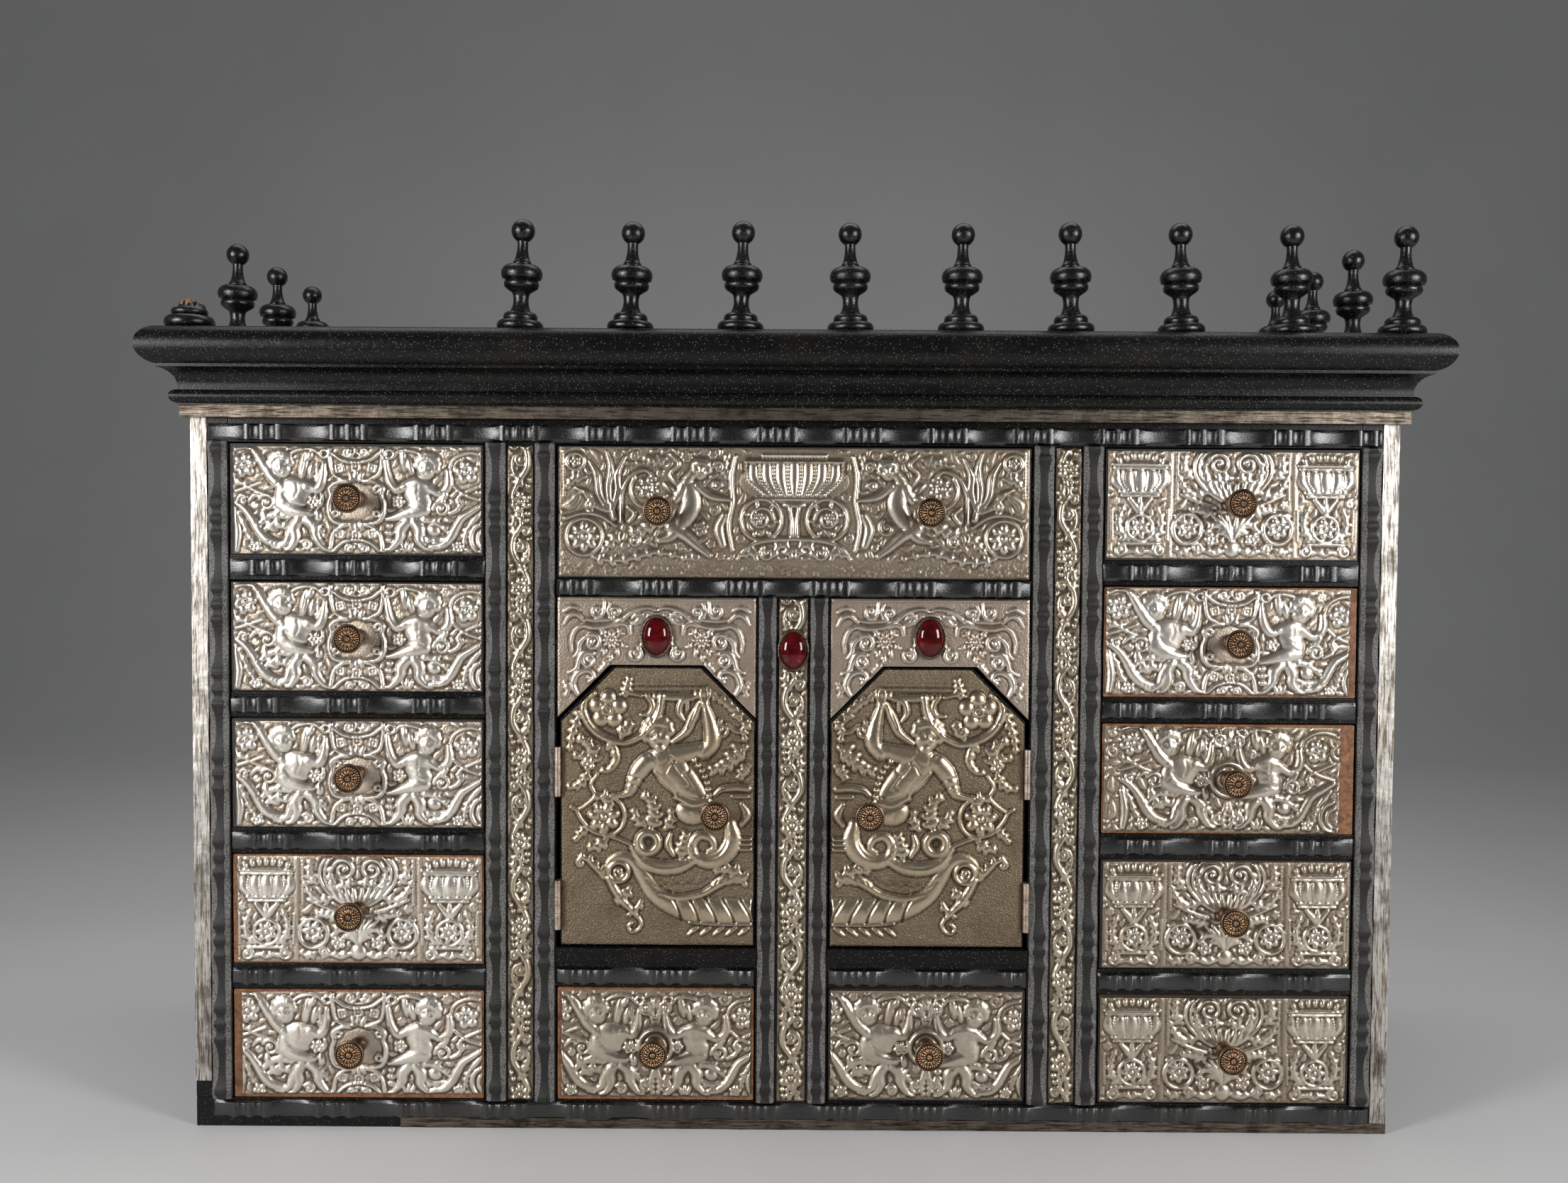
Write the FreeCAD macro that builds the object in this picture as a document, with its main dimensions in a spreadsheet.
"""Table cabinet of ebonised wood with embossed silver plates.

Ten drawers stand in two side columns. Between them are a wide drawer, two small doors with arched
heads and two drawers below the doors. A moulded cornice carries a row of turned finials, two of
which are lost and one of which is broken off at its foot.

Millimetres, +Z up, the drawers open towards -Y. The origin is the middle of the base.
"""
import FreeCAD, Part
import math
import os
import Sketcher

SIZES = {
    # Case, from the middle outwards and from the floor up
    "carcass_depth": 305,
    "centre_stile": 54,
    "niche_width": 150.5,
    "pilaster_width": 53.5,
    "column_width": 191,
    "side_board": 28,
    "base_board": 22,
    "back_board": 10,
    "partition_board": 12,
    "facing_depth": 14,
    "row_height": 84,
    "rail_height": 18.75,
    "frieze_height": 56,
    "cap_board": 27,
    "low_drawer_height": 87,
    "sill_rail_height": 30,
    "niche_height": 265,
    "head_rail_height": 13,
    "dust_board": 8,
    "rail_depth": 24,
    "sill_height": 11,
    "sill_projection": 3,
    # Cornice
    "cornice_overhang": 29.4,
    "nose_depth": 10,
    "moulding_height": 29,
    "moulding_foot": 7,
    "bead_height": 10,
    "bead_swell": 4.7,
    "bead_margin": 1,
    "cove_reach": 11.6,
    "cove_hollow": 4,
    "cove_fillet": 2.3,
    # Rippled mouldings
    "ripple_height": 12.5,
    "ripple_projection": 5,
    "ripple_margin": 1.2,
    "stile_ripple": 14,
    "pilaster_ripple": 14.5,
    "centre_ripple": 13,
    "sill_ripple_lift": 2,
    "side_ripple_width": 14,
    "side_ripple_inset": 6,
    "side_ripple_projection": 3,
    # Silver edging
    "edge_width": 12,
    "edge_thickness": 1.2,
    "base_strip_height": 8,
    "lost_strip_length": 155,
    "lost_strip_height": 27,
    "band_height": 9,
    "band_projection": 6,
    # Embossed plates
    "plate_depth": 3,
    "plate_margin": 1.2,
    "pilaster_plate_width": 18.5,
    "centre_plate_width": 21,
    "cabochon_width": 21,
    "cabochon_height": 29,
    "cabochon_rise": 6,
    "cabochon_drop": 30,
    "middle_cabochon_drop": 40,
    # Drawers
    "drawer_play": 1.2,
    "drawer_lift": 0.3,
    "drawer_front": 12,
    "drawer_wall": 7,
    "drawer_bottom": 5,
    "drawer_wall_drop": 8,
    "drawer_stop_gap": 15,
    "wide_knob_offset": 100,
    # Doors
    "door_thickness": 12,
    "door_height": 212,
    "door_corner": 40,
    "door_play": 1,
    "door_knob_height": 104,
    "door_knob_inset": 30,
    # Hinges
    "hinge_height": 37,
    "hinge_low": 32.5,
    "hinge_high": 133,
    "leaf_width": 10,
    "leaf_thickness": 1.4,
    "leaf_gap": 0.4,
    "knuckle_radius": 2.5,
    "knuckle_gap": 0.3,
    "pin_radius": 1,
    "pin_play": 0.05,
    # Turned knobs
    "knob_width": 22,
    "knob_foot": 13,
    "knob_foot_height": 3,
    "knob_neck": 7,
    "knob_rim": 2,
    "knob_crown": 3,
    "knob_projection": 25,
    "knob_shank": 5,
    "knob_shank_play": 0.1,
    "knob_nut": 11,
    "knob_nut_height": 3,
    # Turned finials
    "finial_height": 83,
    "finial_width": 36,
    "finial_setback": 29.4,
    "stub_height": 22,
    "dowel_width": 6,
    "dowel_length": 16,
    "dowel_play": 0.1,
}

ROWS = 5
FINIALS_ACROSS = 12
FINIALS_DEEP = 4
LOST_FINIALS = (1, 2)
BROKEN_FINIAL = 0

# Outline of a finial from its foot to its tip: shares of its half width, of its height and, for
# the swell of the curve to the next corner, of its half width again.
FINIAL_SHARES = (
    (0.8056, 0, 0.1944),
    (0.8056, 0.1181, 0),
    (0.6389, 0.1241, 0.1111),
    (0.5833, 0.1880, 0),
    (0.4444, 0.1976, -0.0444),
    (0.3889, 0.3554, 0.0556),
    (0.6778, 0.4277, 0.0444),
    (0.7333, 0.4699, 0),
    (0.8222, 0.4735, 0.2389),
    (0.5278, 0.5819, 0),
    (0.4556, 0.5880, 0.0722),
    (0.4000, 0.6337, 0),
    (0.3000, 0.6458, -0.0278),
    (0.2333, 0.8036, 0.3423),
    (0.0500, 1, 0),
)
# Outline of the foot that is left of the broken finial: shares of the half width, of the foot's
# height and, for the swell, of the half width.
STUB_SHARES = (
    (0.8056, 0, 0.1944),
    (0.8056, 0.4455, 0),
    (0.6389, 0.4682, 0.1111),
    (0.5833, 0.7091, 0),
    (0.4444, 0.7455, 0),
    (0.3611, 0.9091, 0),
)

doc = FreeCAD.newDocument("Cabinet")
nodes = []


class Length:
    """A length as its value and as the sheet expression that gives it."""

    def __init__(self, value, text):
        self.value = value
        self.text = text

    def joined(self, sign, other, value):
        return Length(value, f"({self.text} {sign} {other.text})")

    def __add__(self, other):
        other = as_length(other)
        return self.joined("+", other, self.value + other.value)

    def __radd__(self, other):
        return as_length(other) + self

    def __sub__(self, other):
        other = as_length(other)
        return self.joined("-", other, self.value - other.value)

    def __rsub__(self, other):
        return as_length(other) - self

    def __mul__(self, other):
        other = as_length(other)
        return self.joined("*", other, self.value * other.value)

    def __rmul__(self, other):
        return as_length(other) * self

    def __truediv__(self, other):
        other = as_length(other)
        return self.joined("/", other, self.value / other.value)

    def __neg__(self):
        return -1 * self


def as_length(item):
    return item if isinstance(item, Length) else Length(item, repr(item))


def fill_sheet():
    """Write the sizes to the sheet, one named cell each, and return them by name."""
    sheet = doc.addObject("Spreadsheet::Sheet", "Sizes")
    for row, (name, value) in enumerate(SIZES.items(), start=1):
        sheet.set(f"A{row}", name)
        sheet.set(f"B{row}", str(value))
        sheet.setAlias(f"B{row}", name)
    doc.recompute()
    return {name: Length(value, f"Sizes.{name}") for name, value in SIZES.items()}


size = fill_sheet()

# Places that several sub-parts share
front = (size["cornice_overhang"] - size["carcass_depth"]) / 2
back = front + size["carcass_depth"]
facing_back = front + size["facing_depth"]
inner_back = back - size["back_board"]
stile_edge = size["centre_stile"] / 2
niche_edge = stile_edge + size["niche_width"]
column_edge = niche_edge + size["pilaster_width"]
side_inner = column_edge + size["column_width"]
side_face = side_inner + size["side_board"]
base_top = size["base_board"]
row_pitch = size["row_height"] + size["rail_height"]
rows_top = base_top + ROWS * row_pitch - size["rail_height"]
cap_low = rows_top + size["frieze_height"]
cap_top = cap_low + size["cap_board"]
sill_rail_low = base_top + size["low_drawer_height"]
niche_floor = sill_rail_low + size["sill_rail_height"]
niche_top = niche_floor + size["niche_height"]
wide_floor = niche_top + size["head_rail_height"]
wide_height = rows_top - wide_floor
moulding_low = cap_low - size["moulding_height"]
band_low = moulding_low - size["band_height"]
plate_face = front - size["plate_depth"]
hinge_x = niche_edge - size["leaf_thickness"] - size["leaf_gap"] / 2
hinge_y = front - size["knuckle_radius"] - size["knuckle_gap"]
door_outer = niche_edge - 2 * size["leaf_thickness"] - size["leaf_gap"]
door_inner = stile_edge + size["door_play"]
door_low = niche_floor + size["door_play"]
door_top = niche_floor + size["door_height"]


def place(piece, x, y, z):
    for axis, spot in zip("xyz", (x, y, z)):
        piece.setExpression(f"Placement.Base.{axis}", as_length(spot).text)


def board(name, x, y, z):
    """A rectangular piece that fills the space between two places on each axis."""
    piece = doc.addObject("Part::Box", name)
    for side, (low, high) in (("Length", x), ("Width", y), ("Height", z)):
        piece.setExpression(side, (high - low).text)
    place(piece, x[0], y[0], z[0])
    return piece


def rod(name, radius, low, high):
    """An upright cylinder on the Z axis."""
    piece = doc.addObject("Part::Cylinder", name)
    piece.setExpression("Radius", radius.text)
    piece.setExpression("Height", (high - low).text)
    place(piece, 0, 0, low)
    return piece


def bored(name, piece, spots, low, high):
    """A board with a hole along Y for the shank of a knob at each x and z."""
    drills = []
    for index, (x, z) in enumerate(spots, start=1):
        drill = rod(f"{name}_drill_{index}", size["knob_shank"] / 2 + size["knob_shank_play"], low, high)
        drill.Placement = FreeCAD.Placement(FreeCAD.Vector(), FreeCAD.Rotation(FreeCAD.Vector(1, 0, 0), -90))
        place(drill, x, low, z)
        drills.append(drill)
    cut = doc.addObject("Part::Cut", name)
    cut.Base = piece
    cut.Tool = gather(f"{name}_drills", drills)
    return cut


def copy_of(name, piece, x, y, z, turned=False):
    """The same piece at another place, turned over about the Y axis where asked."""
    link = doc.addObject("App::Link", name)
    link.LinkedObject = piece
    if turned:
        link.Placement = FreeCAD.Placement(FreeCAD.Vector(), FreeCAD.Rotation(FreeCAD.Vector(0, 1, 0), 180))
    place(link, x, y, z)
    return link


def gather(name, pieces):
    """One object of separate pieces, whose copies keep the place that each piece has in it."""
    group = doc.addObject("Part::Compound", name)
    group.Links = pieces
    return group


def keep(label, *pieces):
    """Make one node of one or more separate solids."""
    node = pieces[0] if len(pieces) == 1 else gather(label, pieces)
    node.Label = label
    nodes.append(node)


def span(side, near, far):
    """The stretch between two distances from the middle, on the left (-1) or the right (1)."""
    return (near, far) if side > 0 else (-far, -near)


def side_name(side):
    return "left" if side < 0 else "right"


def new_sketch(body, name, plane, offset):
    """An empty sketch that lies parallel to one of the body's own planes."""
    sketch = body.newObject("Sketcher::SketchObject", name)
    support = next(item for item in body.Origin.OriginFeatures if item.Role == plane)
    sketch.AttachmentSupport = [(support, "")]
    sketch.MapMode = "FlatFace"
    sketch.setExpression("AttachmentOffset.Base.z", as_length(offset).text)
    return sketch


def constrain(sketch, kind, references, length):
    index = sketch.addConstraint(Sketcher.Constraint(kind, *references, length.value))
    sketch.setExpression(f"Constraints[{index}]", length.text)


def pin_corner(sketch, edge, end, corner):
    """Tie one end of an edge to its two distances from the sketch's origin."""
    for kind, axis, spot in (("DistanceX", -2, corner[0]), ("DistanceY", -1, corner[1])):
        spot = as_length(spot)
        if spot.value == 0:
            sketch.addConstraint(Sketcher.Constraint("PointOnObject", edge, end, axis))
        else:
            constrain(sketch, kind, (-1, 1, edge, end), spot)


def add_arc(sketch, start, finish, swell):
    """Draw a curve that swells to the right of its way, and return its edge and its two ends."""
    across = finish[0] - start[0]
    along = finish[1] - start[1]
    turn = 1 if swell.value > 0 else -1
    depth = turn * swell
    radius = (across * across + along * along) / (8 * depth) + depth / 2
    chord = math.hypot(across.value, along.value)
    shift = (swell.value - turn * radius.value) / chord
    middle_x = (start[0].value + finish[0].value) / 2 + along.value * shift
    middle_y = (start[1].value + finish[1].value) / 2 - across.value * shift
    angles = [math.atan2(point[1].value - middle_y, point[0].value - middle_x) for point in (start, finish)]
    first, last = angles[::turn]
    if last < first:
        last += 2 * math.pi
    circle = Part.Circle(FreeCAD.Vector(middle_x, middle_y), FreeCAD.Vector(0, 0, 1), radius.value)
    edge = sketch.addGeometry(Part.ArcOfCircle(circle, first, last))
    constrain(sketch, "Radius", (edge,), radius)
    return (edge, 1, 2) if turn > 0 else (edge, 2, 1)


def draw(sketch, corners, closed=True):
    """Draw lines and curves from corner to corner: each corner is x, y and the swell that follows."""
    edges = []
    points = [tuple(as_length(item) for item in corner) for corner in corners]
    followers = points[1:] + points[:1] if closed else points[1:]
    for point, follower in zip(points, followers):
        if len(point) > 2 and point[2].value:
            edges.append(add_arc(sketch, point, follower, point[2]))
        else:
            ends = [FreeCAD.Vector(spot[0].value, spot[1].value) for spot in (point, follower)]
            edges.append((sketch.addGeometry(Part.LineSegment(*ends)), 1, 2))
    for index, (edge, start, finish) in enumerate(edges):
        pin_corner(sketch, edge, start, points[index])
        if closed or index + 1 < len(edges):
            following = edges[(index + 1) % len(edges)]
            sketch.addConstraint(Sketcher.Constraint("Coincident", edge, finish, following[0], following[1]))
        else:
            pin_corner(sketch, edge, finish, points[-1])


def slab(name, plane, start, thickness, corners):
    """A body of one outline and one thickness, which grows along its plane's normal."""
    body = doc.addObject("PartDesign::Body", name)
    outline = new_sketch(body, f"{name}_outline", plane, start)
    draw(outline, corners)
    pad = body.newObject("PartDesign::Pad", f"{name}_pad")
    pad.Profile = outline
    pad.setExpression("Length", thickness.text)
    return body


def turning(name, plane, corners):
    """A body turned about the second axis of its plane."""
    body = doc.addObject("PartDesign::Body", name)
    outline = new_sketch(body, f"{name}_outline", plane, 0)
    draw(outline, corners)
    turn = body.newObject("PartDesign::Revolution", f"{name}_turn")
    turn.Profile = outline
    turn.ReferenceAxis = (outline, ["V_Axis"])
    turn.Angle = 360
    return body


def cut_through(body, name, low, thickness, outlines):
    """Cut upright openings of the given outlines, from a level upwards."""
    sketch = new_sketch(body, f"{name}_outline", "XY_Plane", low)
    for corners in outlines:
        draw(sketch, corners)
    pocket = body.newObject("PartDesign::Pocket", name)
    pocket.Profile = sketch
    pocket.Reversed = True
    pocket.setExpression("Length", thickness.text)


# Case

def make_case():
    """Boards that stand on the base board between the two sides."""
    case_height = (base_top, cap_low)
    full_depth = (front, back)
    keep("side_boards", *[board(f"side_board_{side_name(side)}", span(side, side_inner, side_face),
                                full_depth, case_height) for side in (-1, 1)])
    keep("base_board", board("base", (-side_face, side_face), full_depth, (as_length(0), base_top)))
    keep("back_board", board("back", (-side_inner, side_inner), (inner_back, back), case_height))
    keep("partitions", *make_partitions())


def make_partitions():
    """Upright boards behind the facings: four that rise to the cap and two below the wide drawer."""
    thickness = size["partition_board"]
    pieces = []
    for side in (-1, 1):
        edges = (("niche", span(side, niche_edge, niche_edge + thickness), cap_low),
                 ("column", span(side, column_edge - thickness, column_edge), cap_low),
                 ("stile", span(side, stile_edge - thickness, stile_edge), niche_top))
        for name, across, top in edges:
            pieces.append(board(f"{name}_partition_{side_name(side)}", across, (facing_back, inner_back),
                                (base_top, top)))
    return pieces


def shelf(name, across, low, rail_height):
    """A rail and the dust board behind it, flush with the rail's top."""
    rail_back = front + size["rail_depth"]
    top = low + rail_height
    return [board(name, across, (front, rail_back), (low, top)),
            board(f"{name}_dust_board", across, (rail_back, inner_back), (top - size["dust_board"], top))]


def make_shelves():
    """Rails and dust boards that the drawers run on, and the thin boards over the top row."""
    pieces = []
    for side in (-1, 1):
        across = span(side, column_edge, side_inner)
        for row in range(ROWS - 1):
            low = base_top + row * row_pitch + size["row_height"]
            pieces += shelf(f"rail_{side_name(side)}_{row + 1}", across, low, size["rail_height"])
        pieces.append(board(f"ceiling_{side_name(side)}", across, (facing_back, inner_back),
                            (rows_top, rows_top + size["dust_board"])))
        pieces += shelf(f"niche_floor_{side_name(side)}", span(side, stile_edge, niche_edge),
                        sill_rail_low, size["sill_rail_height"])
    pieces += shelf("head_rail", (-niche_edge, niche_edge), niche_top, size["head_rail_height"])
    pieces.append(board("ceiling_middle", (-niche_edge, niche_edge), (facing_back, inner_back),
                        (rows_top, rows_top + size["dust_board"])))
    keep("shelves", *pieces)


def arch_outline(side, inset):
    """The board over a door: its lower edge follows the door's cut corners, at a distance."""
    near = stile_edge + inset
    far = niche_edge - inset
    corner = size["door_corner"]
    low = door_top - corner + size["door_play"] + inset
    corners = [(near, low), (near, niche_top - inset), (far, niche_top - inset), (far, low),
               (far - corner, low + corner), (near + corner, low + corner)]
    return [(side * x, z) for x, z in corners]


def make_front_frame():
    """Facings of the stiles, the frieze, the arched boards over the doors and the sills."""
    depth = size["facing_depth"]
    across_front = (front, facing_back)
    pieces = [board("centre_facing", (-stile_edge, stile_edge), across_front, (base_top, niche_top)),
              board("frieze", (-side_inner, side_inner), across_front, (rows_top, cap_low))]
    for side in (-1, 1):
        pieces.append(board(f"pilaster_{side_name(side)}", span(side, niche_edge, column_edge),
                            across_front, (base_top, rows_top)))
        pieces.append(slab(f"arch_{side_name(side)}", "XZ_Plane", -facing_back, depth, arch_outline(side, 0)))
        pieces.append(board(f"sill_{side_name(side)}", span(side, stile_edge, niche_edge),
                            (front - size["sill_projection"], front),
                            (niche_floor - size["sill_height"], niche_floor)))
    keep("front_frame", *pieces)


# Cornice

def make_cap():
    """Top board with a rounded nose on three sides and a socket for each finial."""
    edge = side_face + size["cornice_overhang"] - size["nose_depth"]
    edge_front = front - size["cornice_overhang"] + size["nose_depth"]
    cap = slab("cap", "XY_Plane", cap_low, size["cap_board"],
               [(-edge, edge_front), (edge, edge_front), (edge, back), (-edge, back)])
    route = new_sketch(cap, "nose_route", "XY_Plane", cap_low)
    draw(route, [(-edge, back), (-edge, edge_front), (edge, edge_front), (edge, back)], closed=False)
    section = new_sketch(cap, "nose_section", "XZ_Plane", -back)
    draw(section, [(-edge, cap_low), (-edge, cap_top, size["nose_depth"])])
    nose = cap.newObject("PartDesign::AdditivePipe", "nose")
    nose.Profile = section
    nose.Spine = (route, ["Edge1", "Edge2", "Edge3"])
    nose.Transition = "Right corner"
    depth = size["dowel_length"] + size["dowel_play"]
    sockets = new_sketch(cap, "sockets_outline", "XY_Plane", cap_top - depth)
    for spot in finial_spots():
        circle = Part.Circle(FreeCAD.Vector(spot[0].value, spot[1].value), FreeCAD.Vector(0, 0, 1),
                             SIZES["dowel_width"] / 2)
        edge_index = sockets.addGeometry(circle)
        pin_corner(sockets, edge_index, 3, spot)
        constrain(sockets, "Radius", (edge_index,), size["dowel_width"] / 2 + size["dowel_play"])
    pocket = cap.newObject("PartDesign::Pocket", "sockets")
    pocket.Profile = sockets
    pocket.Reversed = True
    pocket.setExpression("Length", depth.text)
    return cap


def moulding_section(side, origin, out):
    """Bead and cove under the cap: distances out from the case, and levels."""
    foot = size["moulding_foot"]
    bead_low = moulding_low + size["bead_margin"]
    bead_top = bead_low + size["bead_height"]
    cove_edge = foot + size["cove_reach"]
    corners = [(0, moulding_low, 0), (foot, moulding_low, 0), (foot, bead_low, size["bead_swell"]),
               (foot, bead_top, 0), (foot, bead_top + size["bead_margin"], -size["cove_hollow"]),
               (cove_edge, cap_low - size["cove_fillet"], 0), (cove_edge, cap_low, 0), (0, cap_low, 0)]
    return [(origin + out * reach, level, side * swell) for reach, level, swell in corners]


def make_mouldings():
    """Three lengths of moulding with mitred corners."""
    reach = size["moulding_foot"] + size["cove_reach"]
    edge = side_face + reach
    tip = front - reach
    height = size["moulding_height"]
    long_one = slab("moulding_front", "YZ_Plane", -edge, 2 * edge, moulding_section(-1, front, -1))
    cut_through(long_one, "mitres_front", moulding_low, height,
                [[(side * side_face, front), (side * edge, front), (side * edge, tip)] for side in (-1, 1)])
    pieces = [long_one]
    for side in (-1, 1):
        name = f"moulding_{side_name(side)}"
        short_one = slab(name, "XZ_Plane", -back, back - tip, moulding_section(side, side * side_face, side))
        cut_through(short_one, f"mitre_{side_name(side)}", moulding_low, height,
                    [[(side * side_face, front), (side * edge, tip), (side * side_face, tip)]])
        pieces.append(short_one)
    return pieces


def finial_spots():
    """Where the finials stand: along the front edge, then back along both sides."""
    reach = side_face + size["cornice_overhang"] - size["finial_setback"]
    row_y = front - size["cornice_overhang"] + size["finial_setback"]
    pitch = 2 * reach / (FINIALS_ACROSS - 1)
    side_pitch = (back - size["finial_setback"] - row_y) / (FINIALS_DEEP - 1)
    spots = [(-reach + pitch * index, row_y) for index in range(FINIALS_ACROSS)]
    for side in (-1, 1):
        spots += [(side * reach, row_y + side_pitch * index) for index in range(1, FINIALS_DEEP)]
    return spots


def finial_outline(shares, height, tip_share):
    """Half outline of a finial from the end of its dowel to its tip."""
    half = size["finial_width"] / 2
    dowel = size["dowel_width"] / 2
    corners = [(0, -size["dowel_length"]), (dowel, -size["dowel_length"]), (dowel, 0)]
    corners += [(half * wide, height * tall, half * swell) for wide, tall, swell in shares]
    return corners + [(0, height * tip_share)]


def make_finials():
    whole = turning("finial", "XZ_Plane", finial_outline(FINIAL_SHARES, size["finial_height"], 1))
    stub = turning("broken_finial", "XZ_Plane", finial_outline(STUB_SHARES, size["stub_height"], 1))
    pieces = []
    for index, spot in enumerate(finial_spots()):
        if index in LOST_FINIALS:
            continue
        piece = stub if index == BROKEN_FINIAL else whole
        pieces.append(copy_of(f"finial_{index + 1}", piece, *spot, cap_top))
    keep("finials", *pieces)


# Trim

def make_ripple_mouldings():
    """Bars that carry the rippled mouldings, on the front and framing both sides."""
    out = (front - size["ripple_projection"], front)
    height = size["ripple_height"]
    stile_outer = side_face - size["edge_width"] - size["ripple_margin"]
    bottom_top = size["base_strip_height"] + height
    top_low = rows_top + size["ripple_margin"]
    upright = (bottom_top, top_low)
    hinge_clear = hinge_x + size["knuckle_radius"] + size["knuckle_gap"]
    centre_edge = stile_edge - size["ripple_margin"]
    across = (-stile_outer, stile_outer)
    pieces = [board("ripple_bottom", across, out, (size["base_strip_height"], bottom_top)),
              board("ripple_top", across, out, (top_low, top_low + height)),
              board("ripple_head", (-niche_edge, niche_edge), out,
                    middle(niche_top, wide_floor, height))]
    for side in (-1, 1):
        name = side_name(side)
        uprights = (("stile", stile_outer - size["stile_ripple"], stile_outer, upright),
                    ("pilaster_outer", column_edge - size["ripple_margin"] - size["pilaster_ripple"],
                     column_edge - size["ripple_margin"], upright),
                    ("pilaster_inner", hinge_clear, hinge_clear + size["pilaster_ripple"], upright),
                    ("centre", centre_edge - size["centre_ripple"], centre_edge,
                     (bottom_top, middle(niche_top, wide_floor, height)[0])))
        pieces += [board(f"ripple_{part}_{name}", span(side, near, far), out, levels)
                   for part, near, far, levels in uprights]
        sill_low = sill_rail_low + size["sill_ripple_lift"]
        pieces.append(board(f"ripple_sill_{name}", span(side, stile_edge, niche_edge), out,
                            (sill_low, sill_low + height)))
        for row in range(ROWS - 1):
            low = base_top + row * row_pitch + size["row_height"]
            pieces.append(board(f"ripple_rail_{name}_{row + 1}", span(side, column_edge, side_inner), out,
                                middle(low, low + size["rail_height"], height)))
        pieces += side_frame(side)
    keep("ripple_mouldings", *pieces)


def middle(low, high, width):
    """A stretch of the given width, midway between two places."""
    start = (low + high - width) / 2
    return (start, start + width)


def side_frame(side):
    """Four rippled bars that frame one outer side of the case."""
    name = side_name(side)
    across = span(side, side_face, side_face + size["side_ripple_projection"])
    width = size["side_ripple_width"]
    near = front + size["side_ripple_inset"]
    far = back - size["side_ripple_inset"]
    low = base_top + size["side_ripple_inset"]
    high = band_low - size["side_ripple_inset"]
    return [board(f"ripple_side_front_{name}", across, (near, near + width), (low, high)),
            board(f"ripple_side_back_{name}", across, (far - width, far), (low, high)),
            board(f"ripple_side_low_{name}", across, (near + width, far - width), (low, low + width)),
            board(f"ripple_side_high_{name}", across, (near + width, far - width), (high - width, high))]


def make_silver_strips():
    """Flat silver edging of the front, and the silver band under the cornice on three sides."""
    skin = (front - size["edge_thickness"], front)
    foot = size["base_strip_height"]
    lost_x = size["lost_strip_length"] - side_face
    inner = side_face - size["edge_width"]
    band = (band_low, moulding_low)
    reach = size["band_projection"]
    pieces = [board("edge_left", (-side_face, -inner), skin, (foot + size["lost_strip_height"], band_low)),
              board("edge_right", (inner, side_face), skin, (foot, band_low)),
              board("edge_bottom", (lost_x, side_face), skin, (as_length(0), foot)),
              board("band_front", (-(side_face + reach), side_face + reach), (front - reach, front), band)]
    pieces += [board(f"band_{side_name(side)}", span(side, side_face, side_face + reach), (front, back), band)
               for side in (-1, 1)]
    keep("silver_strips", *pieces)


def make_fixed_plates():
    """Embossed plates that stay on the frame: three upright strips and two over the doors."""
    relief = (plate_face, front)
    margin = size["plate_margin"]
    half_centre = size["centre_plate_width"] / 2
    pieces = [board("centre_strip", (-half_centre, half_centre), relief, (base_top, niche_top - margin))]
    for side in (-1, 1):
        across = middle(niche_edge, column_edge, size["pilaster_plate_width"])
        pieces.append(board(f"pilaster_strip_{side_name(side)}", span(side, *across), relief,
                            (base_top, rows_top - margin)))
        pieces.append(slab(f"arch_plate_{side_name(side)}", "XZ_Plane", -front, size["plate_depth"],
                           arch_outline(side, margin)))
    keep("fixed_plates", *pieces)


def make_cabochons():
    """Three oval glass domes on the embossed plates."""
    middle_x = (stile_edge + niche_edge) / 2
    spots = [(side * middle_x, niche_top - size["cabochon_drop"]) for side in (-1, 1)]
    spots.append((0, niche_top - size["middle_cabochon_drop"]))
    pieces = []
    for index, (x, z) in enumerate(spots, start=1):
        dome = doc.addObject("Part::Ellipsoid", f"cabochon_{index}")
        dome.setExpression("Radius1", size["cabochon_rise"].text)
        dome.setExpression("Radius2", (size["cabochon_width"] / 2).text)
        dome.setExpression("Radius3", (size["cabochon_height"] / 2).text)
        dome.Angle1 = 0
        dome.Angle2 = 90
        dome.Placement = FreeCAD.Placement(FreeCAD.Vector(), FreeCAD.Rotation(FreeCAD.Vector(1, 0, 0), 90))
        place(dome, x, plate_face, z)
        pieces.append(dome)
    keep("cabochons", *pieces)


# Knobs and hinges

def make_knob(name, board_thickness):
    """Turned knob with its shank and nut: its axis is Y and its foot stands on a plate at zero."""
    half = size["knob_width"] / 2
    foot = size["knob_foot"] / 2
    neck = size["knob_neck"] / 2
    reach = size["knob_projection"]
    rim_back = size["knob_crown"] + size["knob_rim"] - reach
    rim_front = size["knob_crown"] - reach
    shank = size["knob_shank"] / 2
    nut_face = size["plate_depth"] + board_thickness
    nut_back = nut_face + size["knob_nut_height"]
    bore = shank + size["knob_shank_play"]
    nut = size["knob_nut"] / 2
    knob = turning(name, "XY_Plane", [
        (0, nut_back), (0, -reach), (foot, -reach), (half, rim_front), (half, rim_back),
        (neck, (rim_back - size["knob_foot_height"]) / 2), (neck, -size["knob_foot_height"]),
        (foot, -size["knob_foot_height"] / 2), (foot, 0), (shank, 0), (shank, nut_back)])
    ring = turning(f"{name}_nut", "XY_Plane", [(bore, nut_face), (nut, nut_face), (nut, nut_back),
                                               (bore, nut_back)])
    return gather(f"{name}_with_nut", [knob, ring])


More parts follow.
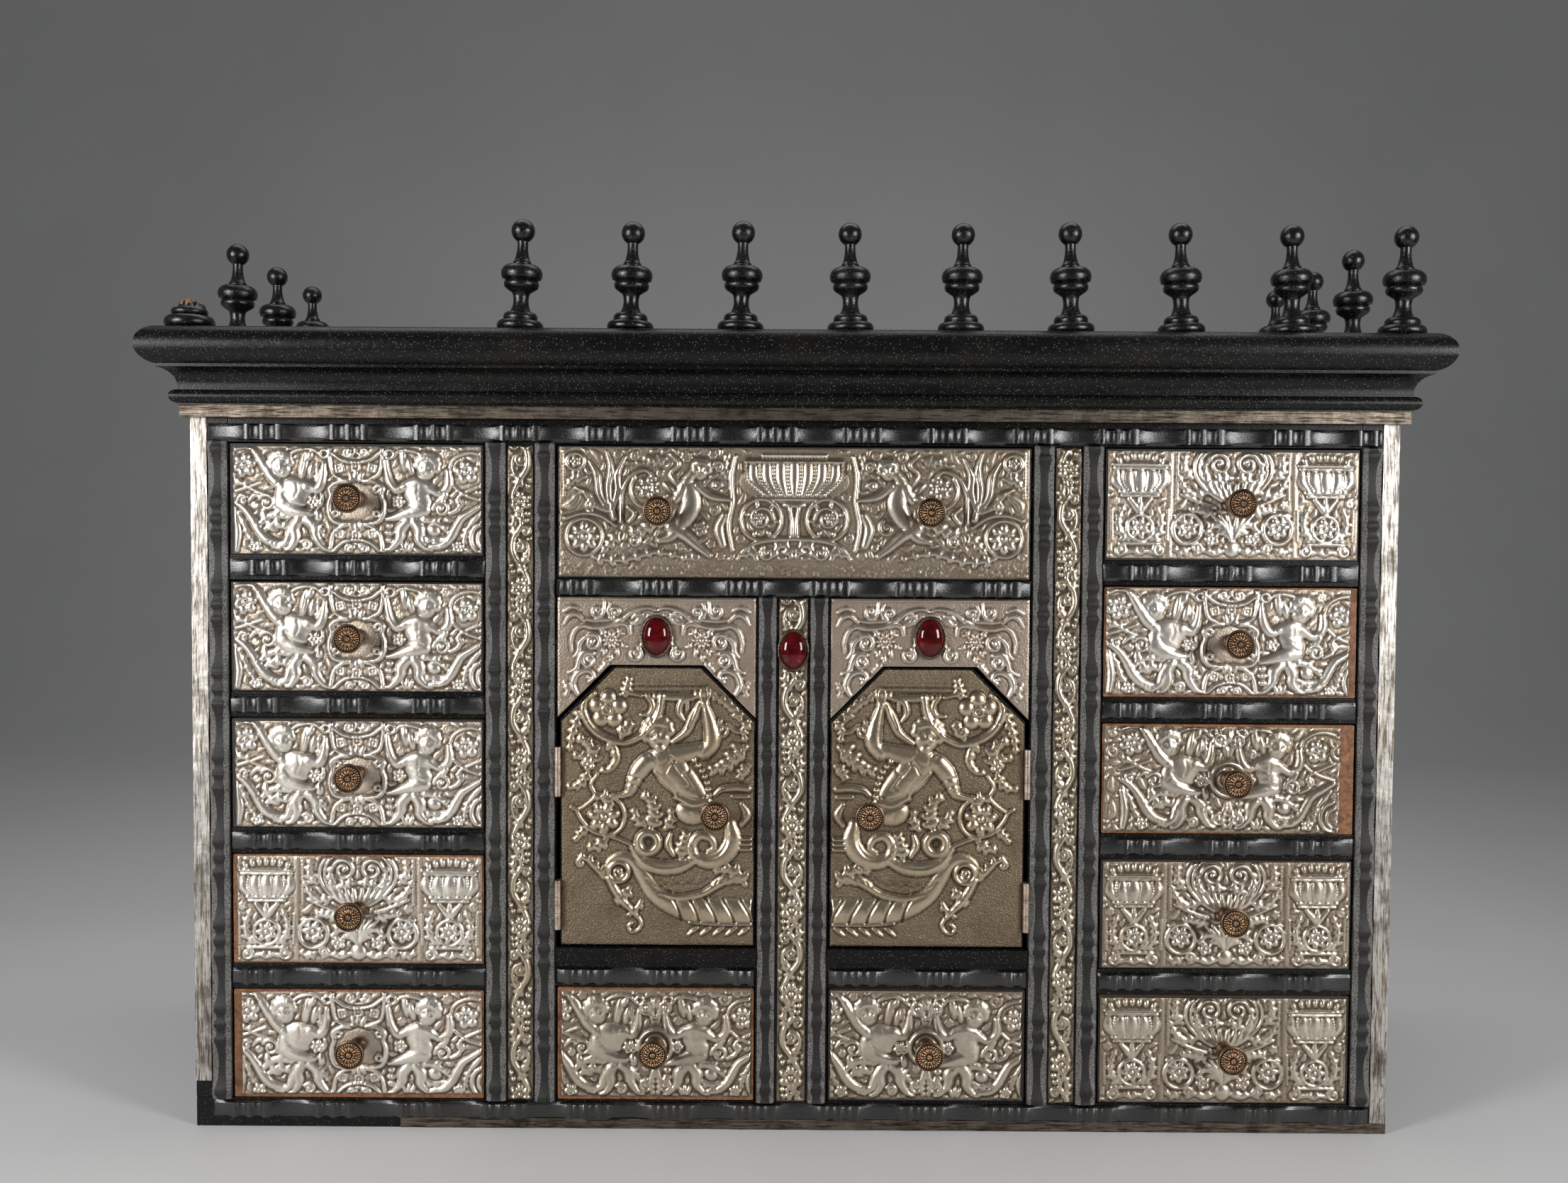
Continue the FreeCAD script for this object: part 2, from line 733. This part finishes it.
def leaf_with_knuckles(name, side, levels):
    """Half of a hinge on the Z axis, to the left (-1) or the right (1) of it, with its knuckles."""
    half = size["hinge_height"] / 2
    near = size["leaf_gap"] / 2
    far = near + size["leaf_thickness"]
    leaf_front = front - hinge_y
    pieces = [board(f"{name}_leaf", span(side, near, far), (leaf_front, leaf_front + size["leaf_width"]),
                    (-half, half))]
    for index, (low, high) in enumerate(levels, start=1):
        pieces.append(board(f"{name}_neck_{index}", span(side, near, far), (as_length(0), leaf_front),
                            (low, high)))
        pieces.append(rod(f"{name}_knuckle_{index}", size["knuckle_radius"], low, high))
    solid = doc.addObject("Part::MultiFuse", f"{name}_solid")
    solid.Shapes = pieces
    half_hinge = doc.addObject("Part::Cut", name)
    half_hinge.Base = solid
    half_hinge.Tool = rod(f"{name}_bore", size["pin_radius"] + size["pin_play"], -half, half)
    return half_hinge


def make_hinge_halves():
    """The door's half has the middle knuckle, the frame's half the other two and the pin."""
    half = size["hinge_height"] / 2
    third = size["hinge_height"] / 6
    gap = size["knuckle_gap"]
    door_half = leaf_with_knuckles("door_half", -1, [(-third + gap, third - gap)])
    frame_half = leaf_with_knuckles("frame_half", 1, [(-half, -third), (third, half)])
    pin = gather("hinge_pin", [rod("hinge_pin_rod", size["pin_radius"], -half, half)])
    return door_half, frame_half, pin


def hinge_spots(side):
    return [(side * hinge_x, hinge_y, niche_floor + size[level]) for level in ("hinge_low", "hinge_high")]


# Drawers and doors

def make_drawer_box(name, width, height, spots):
    """Front, two walls, back and bottom of a drawer: front face at y 0, underside at z 0."""
    half = width / 2 - size["drawer_play"]
    tall = height - size["drawer_lift"] - size["drawer_play"]
    wall = size["drawer_wall"]
    floor = size["drawer_bottom"]
    front_board = size["drawer_front"]
    length = size["carcass_depth"] - size["back_board"] - size["drawer_stop_gap"]
    wall_top = tall - size["drawer_wall_drop"]
    zero = as_length(0)
    solid_front = board(f"{name}_front", (-half, half), (zero, front_board), (zero, tall))
    pieces = [bored(f"{name}_bored_front", solid_front, spots, zero, front_board),
              board(f"{name}_bottom", (-half, half), (front_board, length), (zero, floor)),
              board(f"{name}_end", (wall - half, half - wall), (length - wall, length), (floor, wall_top))]
    pieces += [board(f"{name}_wall_{side_name(side)}", span(side, half - wall, half), (front_board, length),
                     (floor, wall_top)) for side in (-1, 1)]
    return gather(f"{name}_pieces", pieces)


def make_drawer_plate(name, width, height, spots):
    """Embossed plate of a drawer, a little smaller than its front."""
    margin = size["drawer_play"] + size["plate_margin"]
    half = width / 2 - margin
    top = height - size["drawer_lift"] - margin
    face = -size["plate_depth"]
    sheet = board(f"{name}_sheet", (-half, half), (face, as_length(0)), (size["plate_margin"], top))
    return gather(f"{name}_plate", [bored(f"{name}_bored_sheet", sheet, spots, face, as_length(0))])


def make_drawers(knob):
    """Thirteen drawers of three kinds, each of a box, a plate and its knobs."""
    column_x = (column_edge + side_inner) / 2
    niche_x = (stile_edge + niche_edge) / 2
    wide_offset = size["wide_knob_offset"]
    kinds = {}
    for kind, width, height, offsets in (
            ("side_drawer", size["column_width"], size["row_height"], (0,)),
            ("low_drawer", size["niche_width"], size["low_drawer_height"], (0,)),
            ("wide_drawer", 2 * niche_edge, wide_height, (-wide_offset, wide_offset))):
        spots = [(offset, height / 2 - size["drawer_lift"]) for offset in offsets]
        kinds[kind] = (make_drawer_box(kind, width, height, spots),
                       make_drawer_plate(kind, width, height, spots), spots)
    drawers = [("drawer_wide", "wide_drawer", as_length(0), wide_floor)]
    for side in (-1, 1):
        name = side_name(side)
        drawers.append((f"drawer_low_{name}", "low_drawer", side * niche_x, base_top))
        drawers += [(f"drawer_{name}_{ROWS - row}", "side_drawer", side * column_x,
                     base_top + row * row_pitch) for row in range(ROWS)]
    for name, kind, x, floor in drawers:
        box, plate, spots = kinds[kind]
        low = floor + size["drawer_lift"]
        keep(f"{name}_box", copy_of(f"{name}_box", box, x, front, low))
        keep(f"{name}_plate", copy_of(f"{name}_plate", plate, x, front, low))
        keep(f"{name}_knob", *[copy_of(f"{name}_knob_{index}", knob, x + spot[0], plate_face, low + spot[1])
                               for index, spot in enumerate(spots, start=1)])


def door_outline(side, inset):
    """A door with two cut upper corners, at a distance inside its edge."""
    near = door_inner + inset
    far = door_outer - inset
    low = door_low + inset
    high = door_top - inset
    corner = size["door_corner"]
    corners = [(near, low), (far, low), (far, high - corner), (far - corner, high),
               (near + corner, high), (near, high - corner)]
    return [(side * x, z) for x, z in corners]


def make_doors(knob, door_half):
    """Each door is a board, an embossed plate, a knob and its halves of two hinges."""
    for side in (-1, 1):
        name = f"door_{side_name(side)}"
        board_back = front + size["door_thickness"]
        spot = (side * (stile_edge + size["door_knob_inset"]), niche_floor + size["door_knob_height"])
        panel = slab(f"{name}_panel", "XZ_Plane", -board_back, size["door_thickness"], door_outline(side, 0))
        sheet = slab(f"{name}_sheet", "XZ_Plane", -front, size["plate_depth"],
                     door_outline(side, size["plate_margin"]))
        keep(f"{name}_board", bored(f"{name}_bored_panel", panel, [spot], front, board_back))
        keep(f"{name}_plate", bored(f"{name}_bored_sheet", sheet, [spot], plate_face, front))
        keep(f"{name}_knob", copy_of(f"{name}_turned_knob", knob, spot[0], plate_face, spot[1]))
        keep(f"{name}_hinge_leaves", *[copy_of(f"{name}_leaf_{index}", door_half, *hinge, turned=side < 0)
                                       for index, hinge in enumerate(hinge_spots(side), start=1)])


def make_hinge_frame_halves(frame_half, pin):
    pieces = []
    for side in (-1, 1):
        for index, spot in enumerate(hinge_spots(side), start=1):
            name = f"{side_name(side)}_{index}"
            pieces.append(copy_of(f"frame_leaf_{name}", frame_half, *spot, turned=side < 0))
            pieces.append(copy_of(f"pin_{name}", pin, *spot, turned=side < 0))
    keep("hinge_frame_halves", *pieces)


def check_model():
    """Stop if a feature failed or a node has no sound solid."""
    for item in doc.Objects:
        if {"Invalid", "Error"} & set(item.State):
            raise RuntimeError(f"{item.Label}: {item.State}")
    for node in nodes:
        shape = Part.getShape(node)
        if shape.isNull() or not shape.isValid() or not shape.Solids:
            raise RuntimeError(f"{node.Label} has no sound solid")


def write_parts():
    os.makedirs("parts", exist_ok=True)
    for node in nodes:
        Part.getShape(node).exportStep(f"parts/{node.Label}.step")


def main():
    make_case()
    make_shelves()
    make_front_frame()
    keep("cornice", make_cap(), *make_mouldings())
    make_finials()
    make_ripple_mouldings()
    make_silver_strips()
    make_fixed_plates()
    make_cabochons()
    door_half, frame_half, pin = make_hinge_halves()
    make_drawers(make_knob("drawer_knob", size["drawer_front"]))
    make_doors(make_knob("door_knob", size["door_thickness"]), door_half)
    make_hinge_frame_halves(frame_half, pin)
    doc.recompute()
    check_model()
    write_parts()


main()
